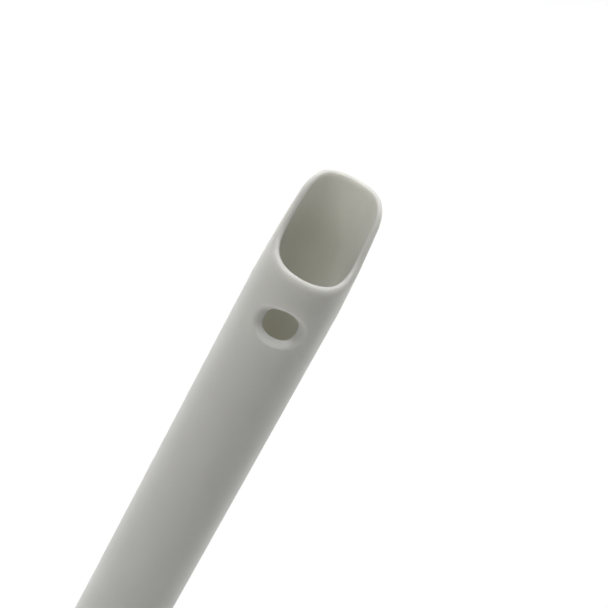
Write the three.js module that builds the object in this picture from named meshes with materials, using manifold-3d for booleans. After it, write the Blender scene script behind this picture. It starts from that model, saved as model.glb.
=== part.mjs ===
// Vented suction tip for dental evacuation: one moulded tube with a scooped, round-lipped mouth and one
// dished vent below it. Millimetres. The tube stands on +Z with its tail face at z = 0, and the mouth and
// the vent face -Y.
import * as THREE from "three";
import { mergeVertices } from "three/addons/utils/BufferGeometryUtils.js";
import Module from "manifold-3d";

// Tube
const LENGTH = 140;
const OUTER_RADIUS = 5.5;
const BORE_RADIUS = 4.5;
const TAIL_OUTER_ROUND = 0.35;
const TAIL_INNER_ROUND = 0.15;

// Mouth: seen from the side, the cut runs square across the near lip, climbs steeply along both flanks
// and ends square again at the far lip. The two bends are arcs.
const MOUTH_LENGTH = 9.8;
const FLANK_SLOPE = THREE.MathUtils.degToRad(78);
const FLANK_Y = 0.05;
const NEAR_BEND = 5.1;
const FAR_BEND = 3.8;
const MOUTH_RADIUS = 4.7;

// Lip: its crest stands nearer the bore, and it rounds over far on the outside and little on the inside.
// The drops are the near lip's; the far lip's are smaller.
const LIP_CREST_SHARE = 0.4;
const LIP_OUTER_DROP = 1.0;
const LIP_INNER_DROP = 0.45;
const FAR_LIP_SCALE = 0.6;

// Vent: a dish hollowed by a barrel laid across the tube, and an oval hole through the dish's floor. The
// oval is a superellipse.
const VENT_HEIGHT = 123.7;
const HOLE_HALF_WIDTH = 2.0;
const HOLE_HALF_HEIGHT = 1.84;
const HOLE_SQUARENESS = 2.6;
const DISH_DEPTH = 1.65;
const BARREL_RADIUS = 2.57;
const BARREL_CROWN = 5.9;
const BARREL_HALF_LENGTH = 4;
const HOLE_CUT_START = 3;

// Nose: from just above the vent's centre both walls draw in, first gently and then straight, up to the
// far lip.
const NOSE_START = VENT_HEIGHT + 1.7;
const NOSE_RUN_IN = 0.15;
const NOSE_OUTER_RADIUS = 4.95;
const NOSE_BORE_RADIUS = 4.11;

// Smoothness
const COLUMNS = 96;
const LIP_STEPS = 5;
const SCOOP_STEPS = 6;
const ROUND_STEPS = 3;
const VENT_COLUMNS = 48;
const BARREL_COLUMNS = 64;
const BARREL_STEPS = 12;
const WELD_DISTANCE = 1e-4;

const WALL = OUTER_RADIUS - BORE_RADIUS;
const NEAR_LIP = LENGTH - MOUTH_LENGTH;
const LIP_BASE = LENGTH - LIP_OUTER_DROP;
const SCOOP_START = VENT_HEIGHT + 3.4;
const SHANK_TOP = VENT_HEIGHT - 5;

const { degToRad, lerp } = THREE.MathUtils;
const wasm = await Module();
wasm.setup();

// Points on an elliptical arc in the profile plane, angles in degrees.
function arc(centreR, centreZ, radiusR, radiusZ, from, to, steps) {
  const curve = new THREE.EllipseCurve(
    centreR,
    centreZ,
    radiusR,
    radiusZ,
    degToRad(from),
    degToRad(to),
    to < from,
  );
  return curve.getPoints(steps);
}

// Heights between two values, both ends left out.
function between(low, high, steps) {
  return Array.from({ length: steps - 1 }, (_, i) => lerp(low, high, (i + 1) / steps));
}

// Height of the mouth's crest where the wall stands at this y.
function crestHeight(y) {
  const rise = MOUTH_LENGTH / 2;
  const middle = LENGTH - rise;
  const run = rise / Math.tan(FLANK_SLOPE);
  const nearSetback = NEAR_BEND * Math.tan(FLANK_SLOPE / 2);
  const farSetback = FAR_BEND * Math.tan(FLANK_SLOPE / 2);
  const nearCorner = FLANK_Y - run;
  const farCorner = FLANK_Y + run;
  const nearArcStart = nearCorner - nearSetback;
  const farArcEnd = farCorner + farSetback;
  if (y <= nearArcStart) return NEAR_LIP;
  if (y < nearCorner + nearSetback * Math.cos(FLANK_SLOPE))
    return NEAR_LIP + NEAR_BEND - Math.sqrt(NEAR_BEND ** 2 - (y - nearArcStart) ** 2);
  if (y >= farArcEnd) return LENGTH;
  if (y > farCorner - farSetback * Math.cos(FLANK_SLOPE))
    return LENGTH - FAR_BEND + Math.sqrt(FAR_BEND ** 2 - (y - farArcEnd) ** 2);
  return middle + (y - FLANK_Y) * Math.tan(FLANK_SLOPE);
}

// The crest's height round the tube; angle 0 is the near lip, at -Y.
function crestAt(angle) {
  return crestHeight(-MOUTH_RADIUS * Math.cos(angle));
}

// Where a point of the wall lies when it is this far below the crest, measured square to the crest.
function belowCrest(angle, drop) {
  const step = 0.01;
  const along = 2 * step * MOUTH_RADIUS;
  const climb = crestAt(angle + step) - crestAt(angle - step);
  const length = Math.hypot(along, climb);
  return {
    angle: angle + (drop * climb) / length / MOUTH_RADIUS,
    height: crestAt(angle) - (drop * along) / length,
  };
}

// Outer radius and bore radius at a height.
function wallAt(height) {
  const t = Math.max(0, (height - NOSE_START) / (LENGTH - NOSE_START));
  const gentle = t < NOSE_RUN_IN ? t ** 2 / (2 * NOSE_RUN_IN) : t - NOSE_RUN_IN / 2;
  const draw = gentle / (1 - NOSE_RUN_IN / 2);
  return {
    outer: lerp(OUTER_RADIUS, NOSE_OUTER_RADIUS, draw),
    bore: lerp(BORE_RADIUS, NOSE_BORE_RADIUS, draw),
  };
}

// A straight tube with a round lip at its top, as a closed profile turned about the axis.
function straightTube() {
  const crest = BORE_RADIUS + WALL * LIP_CREST_SHARE;
  const heights = [SHANK_TOP, NOSE_START, SCOOP_START, ...between(SCOOP_START, LIP_BASE, SCOOP_STEPS)];
  const outer = heights.map((z) => new THREE.Vector2(OUTER_RADIUS, z));
  const bore = heights.map((z) => new THREE.Vector2(BORE_RADIUS, z)).reverse();
  const tailOuter = arc(
    OUTER_RADIUS - TAIL_OUTER_ROUND,
    TAIL_OUTER_ROUND,
    TAIL_OUTER_ROUND,
    TAIL_OUTER_ROUND,
    -90,
    0,
    ROUND_STEPS,
  );
  const tailInner = arc(
    BORE_RADIUS + TAIL_INNER_ROUND,
    TAIL_INNER_ROUND,
    TAIL_INNER_ROUND,
    TAIL_INNER_ROUND,
    180,
    270,
    ROUND_STEPS,
  );
  const lipOuter = arc(crest, LIP_BASE, OUTER_RADIUS - crest, LIP_OUTER_DROP, 0, 90, LIP_STEPS);
  const lipInner = arc(
    crest,
    LENGTH - LIP_INNER_DROP,
    crest - BORE_RADIUS,
    LIP_INNER_DROP,
    90,
    180,
    LIP_STEPS,
  ).slice(1);
  const profile = [...tailOuter, ...outer, ...lipOuter, ...lipInner, ...bore, ...tailInner, tailOuter[0]];
  return new THREE.LatheGeometry(profile, COLUMNS).rotateX(Math.PI / 2);
}

// Moves the straight tube's top rings so that its lip follows the crest and its walls follow the nose.
function shapeMouth(geometry) {
  const position = geometry.getAttribute("position");
  for (let i = 0; i < position.count; i++) {
    const x = position.getX(i);
    const y = position.getY(i);
    const z = position.getZ(i);
    if (z <= NOSE_START) continue;
    const angle = Math.atan2(x, -y);
    const acrossWall = (Math.hypot(x, y) - BORE_RADIUS) / WALL;
    const drop = Math.min(LENGTH - z, LIP_OUTER_DROP);
    const edge = belowCrest(angle, drop * lerp(FAR_LIP_SCALE, 1, (1 + Math.cos(angle)) / 2));
    const share = THREE.MathUtils.clamp((z - SCOOP_START) / (LIP_BASE - SCOOP_START), 0, 1);
    const newAngle = lerp(angle, edge.angle, share);
    const newHeight = lerp(Math.min(z, SCOOP_START), edge.height, share);
    const wall = wallAt(newHeight);
    const radius = lerp(wall.bore, wall.outer, acrossWall);
    position.setXYZ(i, radius * Math.sin(newAngle), -radius * Math.cos(newAngle), newHeight);
  }
  return geometry;
}

// The barrel that hollows the dish: its axis lies across the tube, in front of the skin.
function dishCutter() {
  const end = BARREL_HALF_LENGTH;
  const stations = [-end, ...between(-end, end, BARREL_STEPS), end];
  const side = stations.map((x) => new THREE.Vector2(BARREL_RADIUS - x ** 2 / (2 * BARREL_CROWN), x));
  const profile = [new THREE.Vector2(0, -end), ...side, new THREE.Vector2(0, end)];
  const axisY = DISH_DEPTH - OUTER_RADIUS - BARREL_RADIUS;
  return new THREE.LatheGeometry(profile, BARREL_COLUMNS)
    .rotateZ(-Math.PI / 2)
    .translate(0, axisY, VENT_HEIGHT);
}

// The oval prism that opens the hole from the dish into the bore; it starts inside the bore.
function holeCutter() {
  const oval = Array.from({ length: VENT_COLUMNS }, (_, i) => {
    const direction = (2 * Math.PI * i) / VENT_COLUMNS;
    const across = Math.abs(Math.cos(direction)) / HOLE_HALF_WIDTH;
    const along = Math.abs(Math.sin(direction)) / HOLE_HALF_HEIGHT;
    const reach = (across ** HOLE_SQUARENESS + along ** HOLE_SQUARENESS) ** (-1 / HOLE_SQUARENESS);
    return new THREE.Vector2(reach * Math.cos(direction), reach * Math.sin(direction));
  });
  const depth = OUTER_RADIUS - HOLE_CUT_START;
  return new THREE.ExtrudeGeometry(new THREE.Shape(oval), { depth, bevelEnabled: false, steps: 1 })
    .rotateX(Math.PI / 2)
    .translate(0, -HOLE_CUT_START, VENT_HEIGHT);
}

// A closed geometry as a manifold-3d solid.
function solidOf(geometry) {
  const bare = geometry.clone();
  bare.deleteAttribute("normal");
  bare.deleteAttribute("uv");
  const merged = mergeVertices(bare, WELD_DISTANCE);
  return new wasm.Manifold(
    new wasm.Mesh({
      numProp: 3,
      vertProperties: merged.getAttribute("position").array,
      triVerts: new Uint32Array(merged.index.array),
    }),
  );
}

// A manifold-3d solid as a geometry.
function geometryOf(solid) {
  const mesh = solid.getMesh();
  const geometry = new THREE.BufferGeometry();
  geometry.setAttribute("position", new THREE.BufferAttribute(mesh.vertProperties, 3));
  geometry.setIndex(new THREE.BufferAttribute(mesh.triVerts, 1));
  geometry.computeVertexNormals();
  return geometry;
}

const mouldedPlastic = new THREE.MeshStandardMaterial({
  color: 0xd9dad2,
  roughness: 0.5,
  metalness: 0,
});

const tube = solidOf(shapeMouth(straightTube()))
  .subtract(solidOf(dishCutter()))
  .subtract(solidOf(holeCutter()));
const evacuatorTube = new THREE.Mesh(geometryOf(tube), mouldedPlastic);
evacuatorTube.name = "evacuator_tube";

const suctionTip = new THREE.Group();
suctionTip.add(evacuatorTube);

export default suctionTip;
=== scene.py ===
"""Looks of a vented dental suction tip: one moulded tube with a scooped mouth and a dished vent."""

import logging
import math
from dataclasses import dataclass
from enum import Enum
from typing import Callable

import bmesh
import bpy
from mathutils import Matrix, Vector

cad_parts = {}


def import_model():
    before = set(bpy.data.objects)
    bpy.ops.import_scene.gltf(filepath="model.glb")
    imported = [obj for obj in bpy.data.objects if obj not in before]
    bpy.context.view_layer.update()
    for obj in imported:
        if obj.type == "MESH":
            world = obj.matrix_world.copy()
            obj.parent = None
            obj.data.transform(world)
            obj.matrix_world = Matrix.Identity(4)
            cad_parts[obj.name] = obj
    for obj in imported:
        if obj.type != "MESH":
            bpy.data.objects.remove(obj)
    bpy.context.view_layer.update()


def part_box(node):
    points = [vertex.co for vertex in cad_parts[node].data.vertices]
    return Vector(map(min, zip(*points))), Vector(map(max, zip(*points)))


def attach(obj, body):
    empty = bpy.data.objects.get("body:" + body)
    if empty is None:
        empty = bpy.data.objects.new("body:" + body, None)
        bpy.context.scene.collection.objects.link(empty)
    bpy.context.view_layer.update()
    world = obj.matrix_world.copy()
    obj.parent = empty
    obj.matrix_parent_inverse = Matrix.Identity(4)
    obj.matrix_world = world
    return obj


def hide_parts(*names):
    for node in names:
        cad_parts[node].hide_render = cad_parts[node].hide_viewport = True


MM = 0.001
TUBE_NODE = "evacuator_tube"

log = logging.getLogger("suction_tip")

Picker = Callable[[bmesh.types.BMEdge | bmesh.types.BMFace], bool]
Placer = Callable[[Vector], Vector]


@dataclass(frozen=True)
class TubeForm:
    """The tube's true form: a straight tube shaped, in its top part, into a scooped and narrowing mouth.

    All lengths are in metres. Angle 0 is the near lip, at -Y.
    """

    length: float
    outer_radius: float
    bore_radius: float = 4.5 * MM
    mouth_length: float = 9.8 * MM
    mouth_radius: float = 4.7 * MM
    flank_slope: float = math.radians(78.0)
    flank_y: float = 0.05 * MM
    near_bend: float = 5.1 * MM
    far_bend: float = 3.8 * MM
    lip_crest_share: float = 0.4
    lip_outer_drop: float = 1.0 * MM
    lip_inner_drop: float = 0.45 * MM
    far_lip_scale: float = 0.6
    vent_height: float = 123.7 * MM
    nose_start: float = 125.4 * MM
    nose_run_in: float = 0.15
    nose_outer_radius: float = 4.95 * MM
    nose_bore_radius: float = 4.11 * MM
    scoop_start: float = 127.1 * MM

    @property
    def near_lip(self) -> float:
        """Height of the near lip."""
        return self.length - self.mouth_length

    @property
    def lip_base(self) -> float:
        """Height where the straight tube's lip starts to round over."""
        return self.length - self.lip_outer_drop

    def crest_height(self, y: float) -> float:
        """Height of the mouth's crest where the wall stands at this y.

        Args:
            y: Distance behind the tube's axis; negative towards the near lip.

        Returns:
            The height of the crest.
        """
        rise = self.mouth_length / 2
        steepness = math.tan(self.flank_slope)
        run = rise / steepness
        near_setback = self.near_bend * math.tan(self.flank_slope / 2)
        far_setback = self.far_bend * math.tan(self.flank_slope / 2)
        near_corner = self.flank_y - run
        far_corner = self.flank_y + run
        near_arc_start = near_corner - near_setback
        far_arc_end = far_corner + far_setback
        if y <= near_arc_start:
            return self.near_lip
        if y >= far_arc_end:
            return self.length
        if y < near_corner + near_setback * math.cos(self.flank_slope):
            sink = math.sqrt(self.near_bend**2 - (y - near_arc_start) ** 2)
            return self.near_lip + self.near_bend - sink
        if y > far_corner - far_setback * math.cos(self.flank_slope):
            swell = math.sqrt(self.far_bend**2 - (y - far_arc_end) ** 2)
            return self.length - self.far_bend + swell
        return self.length - rise + (y - self.flank_y) * steepness

    def crest_at(self, angle: float) -> float:
        """Height of the crest at an angle round the tube."""
        return self.crest_height(-self.mouth_radius * math.cos(angle))

    def below_crest(self, angle: float, drop: float) -> tuple[float, float]:
        """Finds the point of the wall that lies a distance below the crest, square to it.

        Args:
            angle: Angle of the crest point.
            drop: Distance from the crest.

        Returns:
            The angle and the height of the point.
        """
        step = 0.01
        along = 2 * step * self.mouth_radius
        climb = self.crest_at(angle + step) - self.crest_at(angle - step)
        run = math.hypot(along, climb)
        return (
            angle + drop * climb / run / self.mouth_radius,
            self.crest_at(angle) - drop * along / run,
        )

    def lip_scale(self, angle: float) -> float:
        """How far the lip rounds over at an angle; 1 at the near lip and less at the far one."""
        return self.far_lip_scale + (1 - self.far_lip_scale) * (1 + math.cos(angle)) / 2

    def wall_at(self, height: float) -> tuple[float, float]:
        """Outer radius and bore radius of the tube at a height."""
        share = max(0.0, (height - self.nose_start) / (self.length - self.nose_start))
        if share < self.nose_run_in:
            gentle = share**2 / (2 * self.nose_run_in)
        else:
            gentle = share - self.nose_run_in / 2
        draw = gentle / (1 - self.nose_run_in / 2)
        return (
            self.outer_radius + (self.nose_outer_radius - self.outer_radius) * draw,
            self.bore_radius + (self.nose_bore_radius - self.bore_radius) * draw,
        )

    def settle(self, point: Vector) -> Vector:
        """Moves a point of the straight tube to its place on the real one.

        Args:
            point: A point in or on the straight tube's wall.

        Returns:
            The same point on the tube with its scooped mouth and narrowed nose.
        """
        if point.z <= self.nose_start:
            return point.copy()
        angle = math.atan2(point.x, -point.y)
        across = (math.hypot(point.x, point.y) - self.bore_radius) / (self.outer_radius - self.bore_radius)
        drop = min(max(self.length - point.z, 0.0), self.lip_outer_drop)
        edge_angle, edge_height = self.below_crest(angle, drop * self.lip_scale(angle))
        share = (point.z - self.scoop_start) / (self.lip_base - self.scoop_start)
        share = min(max(share, 0.0), 1.0)
        start = min(point.z, self.scoop_start)
        new_angle = angle + (edge_angle - angle) * share
        height = start + (edge_height - start) * share
        outer, bore = self.wall_at(height)
        radius = bore + (outer - bore) * across
        return Vector((radius * math.sin(new_angle), -radius * math.cos(new_angle), height))


@dataclass(frozen=True)
class MouldedPlastic:
    """Satin, slightly translucent off-white polypropylene, as it leaves a spark-eroded mould."""

    name: str = "moulded_plastic"
    colour: tuple[float, float, float] = (0.600, 0.598, 0.565)
    mottle: float = 0.03
    depth: float = 2.2 * MM
    depth_by_colour: tuple[float, float, float] = (1.0, 0.99, 0.93)
    refraction: float = 1.49
    smoothest: float = 0.36
    roughest: float = 0.52
    cloud_scale: float = 260.0
    cloud_detail: float = 3.0
    streak_scale: float = 900.0
    streak_detail: float = 2.0
    streak_stretch: float = 0.05
    streak_share: float = 0.4
    grain_scale: float = 5200.0
    grain_detail: float = 4.0
    grain_depth: float = 0.012 * MM
    grain_strength: float = 0.3

    def make(self) -> bpy.types.Material:
        """Builds the node material: cloudy colour, faint flow streaks along the tube and a fine grain.

        Returns:
            The material.
        """
        material = bpy.data.materials.new(self.name)
        material.use_nodes = True
        tree = material.node_tree
        links = tree.links
        shader = tree.nodes["Principled BSDF"]
        shader.inputs["Subsurface Weight"].default_value = 1.0
        shader.inputs["Subsurface Radius"].default_value = self.depth_by_colour
        shader.inputs["Subsurface Scale"].default_value = self.depth
        shader.inputs["IOR"].default_value = self.refraction
        place = tree.nodes.new("ShaderNodeTexCoord").outputs["Object"]
        stretch = tree.nodes.new("ShaderNodeMapping")
        stretch.inputs["Scale"].default_value = (1.0, 1.0, self.streak_stretch)
        links.new(place, stretch.inputs["Vector"])

        cloud = self.noise(tree, place, self.cloud_scale, self.cloud_detail)
        streak = self.noise(tree, stretch.outputs["Vector"], self.streak_scale, self.streak_detail)
        grain = self.noise(tree, place, self.grain_scale, self.grain_detail)

        cloud_part = tree.nodes.new("ShaderNodeMath")
        cloud_part.operation = "MULTIPLY"
        cloud_part.inputs[1].default_value = 1 - self.streak_share
        links.new(cloud, cloud_part.inputs[0])
        blend = tree.nodes.new("ShaderNodeMath")
        blend.operation = "MULTIPLY_ADD"
        blend.inputs[1].default_value = self.streak_share
        links.new(streak, blend.inputs[0])
        links.new(cloud_part.outputs["Value"], blend.inputs[2])
        tone = tree.nodes.new("ShaderNodeMix")
        tone.data_type = "RGBA"
        tone.inputs["A"].default_value = (*(c * (1 - self.mottle) for c in self.colour), 1.0)
        tone.inputs["B"].default_value = (*(c * (1 + self.mottle) for c in self.colour), 1.0)
        links.new(blend.outputs["Value"], tone.inputs["Factor"])
        links.new(tone.outputs["Result"], shader.inputs["Base Color"])

        gloss = tree.nodes.new("ShaderNodeMapRange")
        gloss.inputs["To Min"].default_value = self.smoothest
        gloss.inputs["To Max"].default_value = self.roughest
        links.new(grain, gloss.inputs["Value"])
        links.new(gloss.outputs["Result"], shader.inputs["Roughness"])

        bump = tree.nodes.new("ShaderNodeBump")
        bump.inputs["Strength"].default_value = self.grain_strength
        bump.inputs["Distance"].default_value = self.grain_depth
        links.new(grain, bump.inputs["Height"])
        links.new(bump.outputs["Normal"], shader.inputs["Normal"])
        return material

    @staticmethod
    def noise(
        tree: bpy.types.NodeTree, vector: bpy.types.NodeSocket, scale: float, detail: float
    ) -> bpy.types.NodeSocket:
        """Adds a noise texture and returns its factor.

        Args:
            tree: The material's nodes.
            vector: The coordinates it reads.
            scale: Its scale, in features per metre.
            detail: How many finer layers it has.

        Returns:
            The noise's factor socket.
        """
        texture = tree.nodes.new("ShaderNodeTexNoise")
        texture.inputs["Scale"].default_value = scale
        texture.inputs["Detail"].default_value = detail
        tree.links.new(vector, texture.inputs["Vector"])
        return texture.outputs["Fac"]


class Element(Enum):
    """The kinds of mesh element that can be selected."""

    EDGE = "EDGE"
    FACE = "FACE"


class EditSession:
    """One mesh in edit mode, grown loop by loop."""

    def __init__(self, obj: bpy.types.Object) -> None:
        """Enters edit mode on the object."""
        self.obj = obj
        bpy.context.view_layer.objects.active = obj
        bpy.ops.object.mode_set(mode="EDIT")

    def select(self, kind: Element, wanted: Picker) -> None:
        """Selects the edges or faces that a rule picks, and nothing else.

        Args:
            kind: The kind of element.
            wanted: Says of one element whether it is wanted.
        """
        bpy.ops.mesh.select_mode(type=kind.value)
        bpy.ops.mesh.select_all(action="DESELECT")
        mesh = bmesh.from_edit_mesh(self.obj.data)
        elements = mesh.edges if kind is Element.EDGE else mesh.faces
        for element in [each for each in elements if wanted(each)]:
            element.select_set(True)
        mesh.select_flush_mode()
        bmesh.update_edit_mesh(self.obj.data)

    def grow(self, place: Placer) -> None:
        """Extrudes the selected loop and puts each new vertex where a rule says.

        Args:
            place: Gives a vertex's new position from its old one.
        """
        bpy.ops.mesh.extrude_region_move()
        mesh = bmesh.from_edit_mesh(self.obj.data)
        for vertex in mesh.verts:
            if vertex.select:
                vertex.co = place(vertex.co)
        bmesh.update_edit_mesh(self.obj.data)

    def close(self) -> None:
        """Leaves edit mode."""
        bpy.ops.object.mode_set(mode="OBJECT")


@dataclass(frozen=True)
class VentForm:
    """The vent's true form: an oval hole in the floor of a dish.

    The dish is hollowed by a barrel laid across the tube, and its edge rolls over into the skin. The
    oval is a superellipse, and a larger one is the rim of the skin round the dish. Lengths are in metres.
    """

    tube: TubeForm
    hole_half_width: float = 2.0 * MM
    hole_half_height: float = 1.84 * MM
    squareness: float = 2.6
    dish_depth: float = 1.65 * MM
    barrel_radius: float = 2.57 * MM
    barrel_crown: float = 5.9 * MM
    rim_half_width: float = 3.55 * MM
    rim_half_height: float = 2.75 * MM
    roll: float = 0.45 * MM

    def oval_reach(self, half_width: float, half_height: float, direction: float) -> float:
        """Reach of an oval from its centre in a direction."""
        across = abs(math.cos(direction)) / half_width
        along = abs(math.sin(direction)) / half_height
        return (across**self.squareness + along**self.squareness) ** (-1 / self.squareness)

    def skin(self, x: float, up: float) -> float:
        """Finds how far forward the tube's skin lies, dish included.

        Args:
            x: Distance across the tube.
            up: Height above the vent's centre.

        Returns:
            The y of the skin, with a rolled edge between the round tube and the dish.
        """
        plain = -math.sqrt(self.tube.outer_radius**2 - x**2)
        barrel = self.barrel_radius - x**2 / (2 * self.barrel_crown)
        if abs(up) >= barrel:
            return plain
        axis = -self.tube.outer_radius + self.dish_depth - self.barrel_radius
        dish = axis + math.sqrt(barrel**2 - up**2)
        near = max(self.roll - abs(plain - dish), 0.0)
        return max(plain, dish) + near**2 / (4 * self.roll)

    def bore(self, x: float) -> float:
        """How far forward the bore's wall lies at a distance across the tube."""
        return -math.sqrt(self.tube.bore_radius**2 - x**2)

    def offset(self, direction: float, share: float, out: float) -> tuple[float, float]:
        """Finds a place on the vent as seen from the front.

        Args:
            direction: Direction from the vent's centre.
            share: 0 at the hole's edge and 1 at the rim round the dish.
            out: A further distance from the centre.

        Returns:
            The distances across the tube and up from the vent's centre.
        """
        hole = self.oval_reach(self.hole_half_width, self.hole_half_height, direction)
        rim = self.oval_reach(self.rim_half_width, self.rim_half_height, direction)
        reach = hole + (rim - hole) * share + out
        return reach * math.cos(direction), reach * math.sin(direction)


@dataclass
class EvacuatorTube:
    """The whole tip: tube, round-lipped scoop mouth and dished vent, one moulding.

    The patch is the block of faces that is cut out of both walls and regrown as the vent.
    """

    form: TubeForm
    vent: VentForm
    plastic: MouldedPlastic
    columns: int = 96
    lip_steps: int = 5
    tail_outer_round: float = 0.35 * MM
    tail_inner_round: float = 0.15 * MM
    round_steps: int = 3
    weld_distance: float = 0.01 * MM
    tail_rows: tuple[float, ...] = (1.2 * MM, 4 * MM, 12 * MM)
    shank_spacing: float = 27.5 * MM
    shank_steps: int = 4
    nose_steps: int = 10
    patch_columns: int = 26
    patch_rows: int = 20
    patch_half_height: float = 3.3 * MM
    patch_run_in: tuple[float, ...] = (3 * MM, 1 * MM)
    dish_steps: int = 14
    hole_bevel: float = 0.06 * MM
    hole_wall_rises: tuple[float, ...] = (0.85, 0.15)
    bore_rim: tuple[float, ...] = (0.03 * MM, 0.12 * MM, 0.5 * MM)

    def profile(self) -> list[tuple[float, float]]:
        """Lists the rings of the straight tube as radius and height, from the tail face round to itself."""
        form = self.form
        rings: list[tuple[float, float]] = []
        for step in range(self.round_steps + 1):
            turn = math.pi / 2 * step / self.round_steps
            reach = self.tail_outer_round
            radius = form.outer_radius - reach + reach * math.sin(turn)
            rings.append((radius, reach - reach * math.cos(turn)))
        rows = self.wall_rows()
        rings += [(form.outer_radius, height) for height in rows]
        crest = form.bore_radius + (form.outer_radius - form.bore_radius) * form.lip_crest_share
        for step in range(self.lip_steps + 1):
            turn = math.pi / 2 * step / self.lip_steps
            radius = crest + (form.outer_radius - crest) * math.cos(turn)
            rings.append((radius, form.lip_base + form.lip_outer_drop * math.sin(turn)))
        for step in range(1, self.lip_steps + 1):
            turn = math.pi / 2 * step / self.lip_steps
            radius = crest - (crest - form.bore_radius) * math.sin(turn)
            rings.append((radius, form.length - form.lip_inner_drop * (1 - math.cos(turn))))
        rings += [(form.bore_radius, height) for height in reversed(rows)]
        for step in range(self.round_steps, -1, -1):
            turn = math.pi / 2 * step / self.round_steps
            reach = self.tail_inner_round
            radius = form.bore_radius + reach - reach * math.sin(turn)
            rings.append((radius, reach - reach * math.cos(turn)))
        return rings

    def wall_rows(self) -> list[float]:
        """Heights of the rings on a wall, between the tail's round and the lip's."""
        form = self.form
        low = form.vent_height - self.patch_half_height
        high = form.vent_height + self.patch_half_height
        shank = [self.shank_spacing * step for step in range(1, self.shank_steps + 1)]
        run_in = [low - gap for gap in self.patch_run_in]
        patch = [low + (high - low) * step / self.patch_rows for step in range(self.patch_rows + 1)]
        nose_height = form.lip_base - high
        nose = [high + nose_height * step / self.nose_steps for step in range(1, self.nose_steps)]
        return [*self.tail_rows, *shank, *run_in, *patch, *nose]

    def turn_shell(self) -> bpy.types.Object:
        """Grows the straight tube ring by ring and joins its two ends at the tail.

        Returns:
            The new object, closed, still without its vent.
        """
        rings = self.profile()
        bpy.ops.object.select_all(action="DESELECT")
        bpy.ops.mesh.primitive_circle_add(
            vertices=self.columns, radius=rings[0][0], location=(0, 0, rings[0][1])
        )
        tube = bpy.context.object
        tube.name = "suction_tube"
        edit = EditSession(tube)
        bpy.ops.mesh.select_all(action="SELECT")
        for radius, height in rings[1:] + rings[:1]:
            edit.grow(lambda co, r=radius, h=height: self.on_ring(co, r, h))
        bpy.ops.mesh.select_all(action="SELECT")
        bpy.ops.mesh.remove_doubles(threshold=self.weld_distance)
        bpy.ops.mesh.normals_make_consistent(inside=False)
        edit.close()
        return tube

    @staticmethod
    def on_ring(co: Vector, radius: float, height: float) -> Vector:
        """Puts a vertex on a ring, keeping its angle round the tube."""
        angle = math.atan2(co.x, -co.y)
        return Vector((radius * math.sin(angle), -radius * math.cos(angle), height))

    def open_vent(self, tube: bpy.types.Object) -> None:
        """Cuts the patch out of both walls and grows the dish, the hole's wall and the bore in its place.

        Args:
            tube: The straight tube.
        """
        form = self.form
        half_angle = math.pi * self.patch_columns / self.columns
        middle_radius = (form.outer_radius + form.bore_radius) / 2

        def in_patch(face: bmesh.types.BMFace) -> bool:
            centre = face.calc_center_median()
            angle = abs(math.atan2(centre.x, -centre.y))
            return angle < half_angle and abs(centre.z - form.vent_height) < self.patch_half_height

        def on_skin_rim(edge: bmesh.types.BMEdge) -> bool:
            return edge.is_boundary and all(
                math.hypot(vertex.co.x, vertex.co.y) > middle_radius for vertex in edge.verts
            )

        edit = EditSession(tube)
        edit.select(Element.FACE, in_patch)
        bpy.ops.mesh.delete(type="FACE")
        edit.select(Element.EDGE, on_skin_rim)
        for place in self.vent_rings():
            edit.grow(place)
        edit.select(Element.EDGE, lambda edge: edge.is_boundary)
        bpy.ops.mesh.bridge_edge_loops()
        bpy.ops.mesh.select_all(action="SELECT")
        bpy.ops.mesh.normals_make_consistent(inside=False)
        edit.close()

    def vent_rings(self) -> list[Placer]:
        """Lists the vent's rings in order, each as a rule that places a vertex.

        Returns:
            Rules for the skin round the dish, the dish, the hole's edge and the bore round the hole.
        """
        shares = [1 - step / self.dish_steps for step in range(self.dish_steps)]
        rules = [self.ring_rule(share, 0.0, 1.0) for share in shares]
        rules.append(self.ring_rule(0.0, self.hole_bevel, 1.0))
        rules += [self.ring_rule(0.0, 0.0, rise) for rise in self.hole_wall_rises]
        rules += [self.ring_rule(0.0, out, 0.0) for out in self.bore_rim]
        return rules

    def ring_rule(self, share: float, out: float, rise: float) -> Placer:
        """Makes a rule for one ring of the vent.

        Args:
            share: 0 at the hole's edge and 1 at the rim round the dish.
            out: A further distance from the vent's centre.
            rise: 0 on the bore's wall and 1 on the skin or the dish.

        Returns:
            The rule.
        """

        def place(co: Vector) -> Vector:
            across = math.atan2(co.x, -co.y) * self.form.outer_radius
            direction = math.atan2(co.z - self.form.vent_height, across)
            x, up = self.vent.offset(direction, share, out)
            inner = self.vent.bore(x)
            y = inner + (self.vent.skin(x, up) - inner) * rise
            return Vector((x, y, self.form.vent_height + up))

        return place

    def smooth(self, tube: bpy.types.Object) -> None:
        """Subdivides the straight tube, settles it on its true form and smooths its shading.

        Args:
            tube: The straight tube with its vent.
        """
        fine = tube.modifiers.new("fine_surface", "SUBSURF")
        fine.levels = 1
        fine.render_levels = 1
        bpy.ops.object.modifier_apply(modifier=fine.name)
        for vertex in tube.data.vertices:
            vertex.co = self.form.settle(vertex.co)
        bpy.ops.object.shade_smooth()

    def build(self) -> bpy.types.Object:
        """Builds, dresses and mounts the tube.

        Returns:
            The finished object.
        """
        tube = self.turn_shell()
        self.open_vent(tube)
        self.smooth(tube)
        tube.data.materials.append(self.plastic.make())
        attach(tube, "root")
        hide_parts(TUBE_NODE)
        return tube


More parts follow.
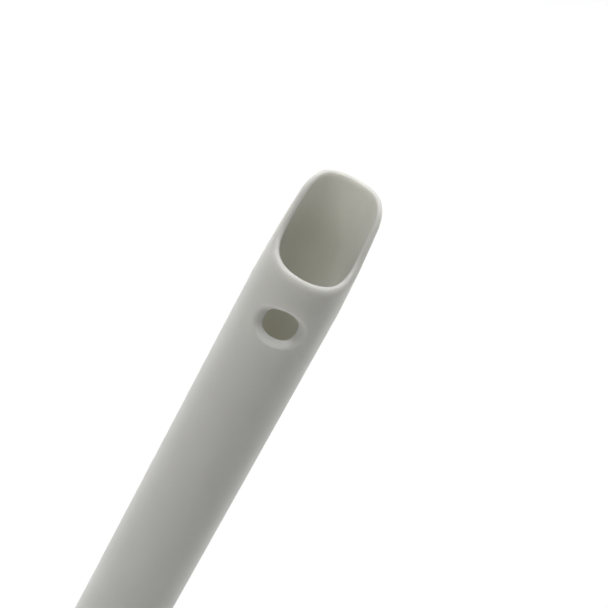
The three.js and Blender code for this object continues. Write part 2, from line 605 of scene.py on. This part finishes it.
@dataclass(frozen=True)
class SoftLight:
    """A square soft box aimed at a point."""

    name: str
    place: tuple[float, float, float]
    aim: tuple[float, float, float]
    side: float
    watts: float

    def make(self) -> bpy.types.Object:
        """Adds the light to the scene and returns it."""
        data = bpy.data.lights.new(self.name, "AREA")
        data.size = self.side
        data.energy = self.watts
        light = bpy.data.objects.new(self.name, data)
        light.location = self.place
        direction = Vector(self.aim) - Vector(self.place)
        light.rotation_euler = direction.to_track_quat("-Z", "Y").to_euler()
        bpy.context.scene.collection.objects.link(light)
        return light


@dataclass(frozen=True)
class Studio:
    """A pale floor, soft lights and the camera."""

    aim: tuple[float, float, float] = (0.0, 0.0, 124.25 * MM)
    azimuth: float = math.radians(-3.8)
    elevation: float = math.radians(28.0)
    roll: float = math.radians(28.75)
    distance: float = 206.0 * MM
    slide: tuple[float, float] = (1.72 * MM, -0.05 * MM)
    lens: float = 106.4
    sensor: float = 36.0
    clip: tuple[float, float] = (10 * MM, 20.0)
    light_aim: tuple[float, float, float] = (0.0, 0.0, 100 * MM)
    floor_side: float = 6.0
    floor_gap: float = 0.05 * MM
    floor_tone: float = 0.92
    floor_roughness: float = 0.9

    def make_camera(self) -> bpy.types.Object:
        """Adds the camera, looking down at the mouth, and makes it the scene's."""
        sin_a, cos_a = math.sin(self.azimuth), math.cos(self.azimuth)
        sin_e, cos_e = math.sin(self.elevation), math.cos(self.elevation)
        back = Vector((sin_a * cos_e, -cos_a * cos_e, sin_e))
        level = Vector((cos_a, sin_a, 0.0))
        rise = back.cross(level)
        right = level * math.cos(self.roll) + rise * math.sin(self.roll)
        up = rise * math.cos(self.roll) - level * math.sin(self.roll)
        data = bpy.data.cameras.new("camera")
        data.lens = self.lens
        data.sensor_width = self.sensor
        data.clip_start, data.clip_end = self.clip
        camera = bpy.data.objects.new("camera", data)
        turn = Matrix((right, up, back)).transposed()
        spot = Vector(self.aim) + back * self.distance + right * self.slide[0] + up * self.slide[1]
        camera.matrix_world = Matrix.Translation(spot) @ turn.to_4x4()
        bpy.context.scene.collection.objects.link(camera)
        bpy.context.scene.camera = camera
        return camera

    def make_floor(self) -> bpy.types.Object:
        """Adds the pale floor under the tail."""
        bpy.ops.object.select_all(action="DESELECT")
        bpy.ops.mesh.primitive_plane_add(size=self.floor_side, location=(0, 0, -self.floor_gap))
        floor = bpy.context.object
        floor.name = "floor"
        material = bpy.data.materials.new("pale_floor")
        material.use_nodes = True
        shader = material.node_tree.nodes["Principled BSDF"]
        shader.inputs["Base Color"].default_value = (*(self.floor_tone,) * 3, 1.0)
        shader.inputs["Roughness"].default_value = self.floor_roughness
        floor.data.materials.append(material)
        return floor

    def make_lights(self) -> None:
        """Adds the soft boxes; there is no light from the sky."""
        lights = (
            SoftLight("overhead", (-0.1, 0.26, 1.1), (-0.05, 0.26, 0.0), side=0.9, watts=7.5),
            SoftLight("front_left", (-0.45, -0.3, 0.9), self.light_aim, side=0.4, watts=4.0),
            SoftLight("front_right", (0.35, -0.2, 1.0), self.light_aim, side=0.4, watts=1.1),
            SoftLight("back_left", (-0.7, 0.8, 0.35), self.light_aim, side=0.6, watts=4.3),
            SoftLight("back_right", (0.7, 0.8, 0.35), self.light_aim, side=0.6, watts=5.1),
        )
        for light in lights:
            light.make()
        world = bpy.data.worlds.new("studio")
        world.use_nodes = True
        world.node_tree.nodes["Background"].inputs["Strength"].default_value = 0.0
        bpy.context.scene.world = world
        bpy.context.scene.view_settings.view_transform = "Standard"


def main() -> None:
    """Builds the tip and its studio, and logs each piece."""
    logging.basicConfig(level=logging.INFO, format="%(message)s")
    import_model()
    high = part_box(TUBE_NODE)[1]
    studio = Studio()
    studio.make_camera()
    form = TubeForm(length=high.z, outer_radius=high.x)
    tube = EvacuatorTube(form, VentForm(form), MouldedPlastic()).build()
    log.info("%s: %d faces", tube.name, len(tube.data.polygons))
    studio.make_floor()
    studio.make_lights()


if __name__ == "__main__":
    main()
